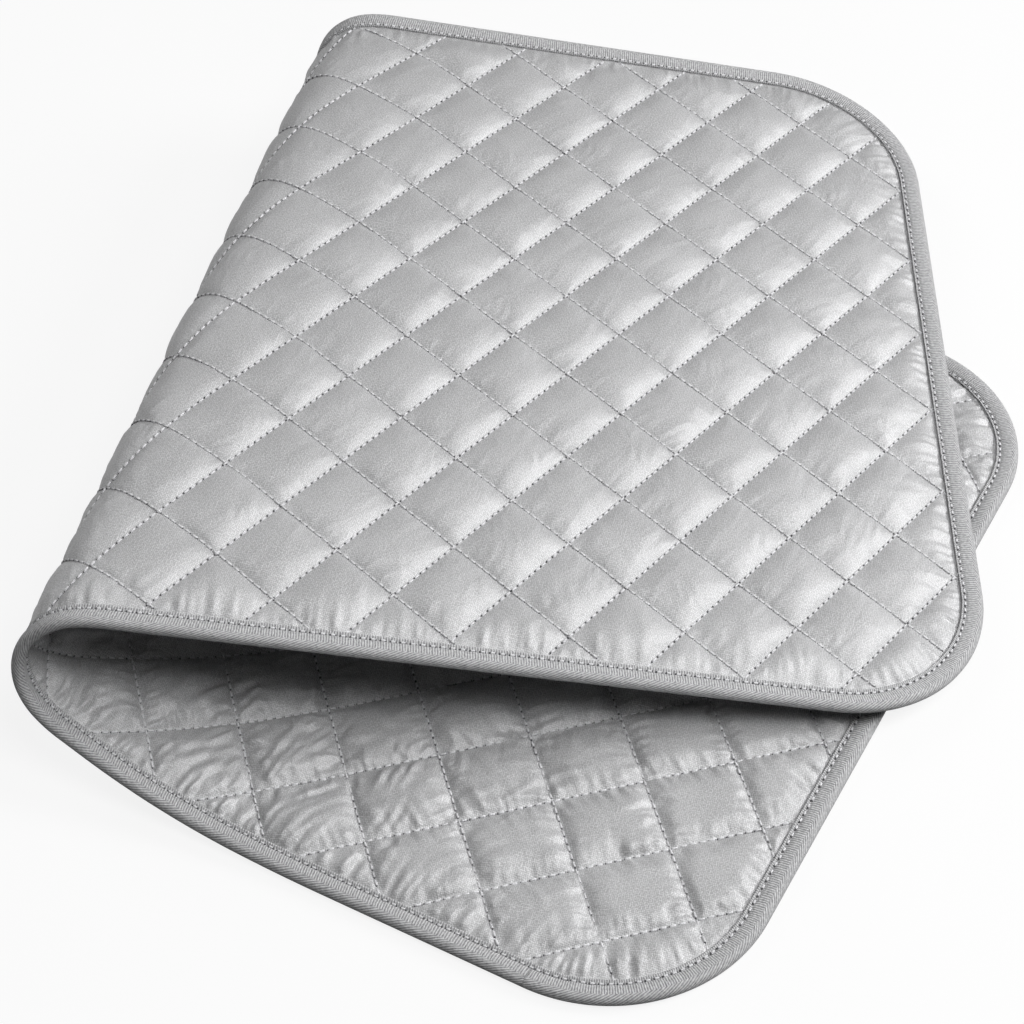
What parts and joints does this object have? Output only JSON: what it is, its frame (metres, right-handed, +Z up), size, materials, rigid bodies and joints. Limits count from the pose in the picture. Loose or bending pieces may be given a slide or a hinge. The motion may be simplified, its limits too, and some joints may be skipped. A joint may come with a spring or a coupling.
{
  "type": "ironing pad",
  "caption": "Quilted ironing pad with rounded corners and a bound edge, folded once on the skew and opening out flat to iron on.",
  "frame": {"origin": "on the table under the middle of the folded pad's box", "axes": "+Z up, +Y along the fold, from the corner nearest the viewer to the far one, +X from the fold towards the free edges"},
  "size_m": [0.4502, 0.6476, 0.0914],
  "materials": {
    "silver_cloth": "metallised satin cloth, silver grey, quilted",
    "batting": "off-white heat-resistant wadding",
    "woven_tape": "woven twill binding tape, mid grey, matt"
  },
  "bodies": {
    "lower_half": {"lower_outer_cover": "silver_cloth", "lower_wadding": "batting", "lower_inner_cover": "silver_cloth", "lower_binding": "woven_tape"},
    "fold_1": {"fold_1_outer_cover": "silver_cloth", "fold_1_wadding": "batting", "fold_1_inner_cover": "silver_cloth", "fold_1_front_binding": "woven_tape", "fold_1_back_binding": "woven_tape"},
    "fold_2": {"fold_2_outer_cover": "silver_cloth", "fold_2_wadding": "batting", "fold_2_inner_cover": "silver_cloth", "fold_2_front_binding": "woven_tape", "fold_2_back_binding": "woven_tape"},
    "fold_3": {"fold_3_outer_cover": "silver_cloth", "fold_3_wadding": "batting", "fold_3_inner_cover": "silver_cloth", "fold_3_front_binding": "woven_tape", "fold_3_back_binding": "woven_tape"},
    "fold_4": {"fold_4_outer_cover": "silver_cloth", "fold_4_wadding": "batting", "fold_4_inner_cover": "silver_cloth", "fold_4_front_binding": "woven_tape", "fold_4_back_binding": "woven_tape"},
    "fold_5": {"fold_5_outer_cover": "silver_cloth", "fold_5_wadding": "batting", "fold_5_inner_cover": "silver_cloth", "fold_5_front_binding": "woven_tape", "fold_5_back_binding": "woven_tape"},
    "fold_6": {"fold_6_outer_cover": "silver_cloth", "fold_6_wadding": "batting", "fold_6_inner_cover": "silver_cloth", "fold_6_front_binding": "woven_tape", "fold_6_back_binding": "woven_tape"},
    "fold_7": {"fold_7_outer_cover": "silver_cloth", "fold_7_wadding": "batting", "fold_7_inner_cover": "silver_cloth", "fold_7_front_binding": "woven_tape", "fold_7_back_binding": "woven_tape"},
    "fold_8": {"fold_8_outer_cover": "silver_cloth", "fold_8_wadding": "batting", "fold_8_inner_cover": "silver_cloth", "fold_8_front_binding": "woven_tape", "fold_8_back_binding": "woven_tape"},
    "fold_9": {"fold_9_outer_cover": "silver_cloth", "fold_9_wadding": "batting", "fold_9_inner_cover": "silver_cloth", "fold_9_front_binding": "woven_tape", "fold_9_back_binding": "woven_tape"},
    "upper_half": {"upper_outer_cover": "silver_cloth", "upper_wadding": "batting", "upper_inner_cover": "silver_cloth", "upper_binding": "woven_tape"}
  },
  "joints": [
    {"name": "bend_1", "type": "hinge", "parent": "lower_half", "child": "fold_1", "pos_m": [-0.08134, 0, -0.0005], "axis": [0, -1, 0], "range_deg": [0, 4.67]},
    {"name": "bend_2", "type": "hinge", "parent": "fold_1", "child": "fold_2", "pos_m": [-0.12519, 0, 0.00308], "axis": [0, -1, 0], "range_deg": [0, 9.34]},
    {"name": "bend_3", "type": "hinge", "parent": "fold_2", "child": "fold_3", "pos_m": [-0.16788, 0, 0.01372], "axis": [0, -1, 0], "range_deg": [0, 9.34]},
    {"name": "bend_4", "type": "hinge", "parent": "fold_3", "child": "fold_4", "pos_m": [-0.20828, 0, 0.03115], "axis": [0, -1, 0], "range_deg": [0, 18.24]},
    {"name": "bend_5", "type": "hinge", "parent": "fold_4", "child": "fold_5", "pos_m": [-0.21962, 0, 0.04121], "axis": [0, -1, 0], "range_deg": [0, 27.14]},
    {"name": "bend_6", "type": "hinge", "parent": "fold_5", "child": "fold_6", "pos_m": [-0.22513, 0, 0.05533], "axis": [0, -1, 0], "range_deg": [0, 27.14]},
    {"name": "fold", "type": "hinge", "parent": "fold_6", "child": "fold_7", "pos_m": [-0.22359, 0, 0.0704], "axis": [0, -1, 0], "range_deg": [0, 27.13]},
    {"name": "bend_8", "type": "hinge", "parent": "fold_7", "child": "fold_8", "pos_m": [-0.21534, 0, 0.08312], "axis": [0, -1, 0], "range_deg": [0, 27.14]},
    {"name": "bend_9", "type": "hinge", "parent": "fold_8", "child": "fold_9", "pos_m": [-0.2022, 0, 0.09067], "axis": [0, -1, 0], "range_deg": [0, 27.14]},
    {"name": "bend_10", "type": "hinge", "parent": "fold_9", "child": "upper_half", "pos_m": [-0.18706, 0, 0.0914], "axis": [0, -1, 0], "range_deg": [0, 13.57]}
  ],
  "couplings": [
    {"joint": "bend_1", "follows": "fold", "ratio": 0.17198},
    {"joint": "bend_2", "follows": "fold", "ratio": 0.34397},
    {"joint": "bend_3", "follows": "fold", "ratio": 0.34397},
    {"joint": "bend_4", "follows": "fold", "ratio": 0.67198},
    {"joint": "bend_5", "follows": "fold", "ratio": 1},
    {"joint": "bend_6", "follows": "fold", "ratio": 1},
    {"joint": "bend_8", "follows": "fold", "ratio": 1},
    {"joint": "bend_9", "follows": "fold", "ratio": 1},
    {"joint": "bend_10", "follows": "fold", "ratio": 0.5}
  ]
}
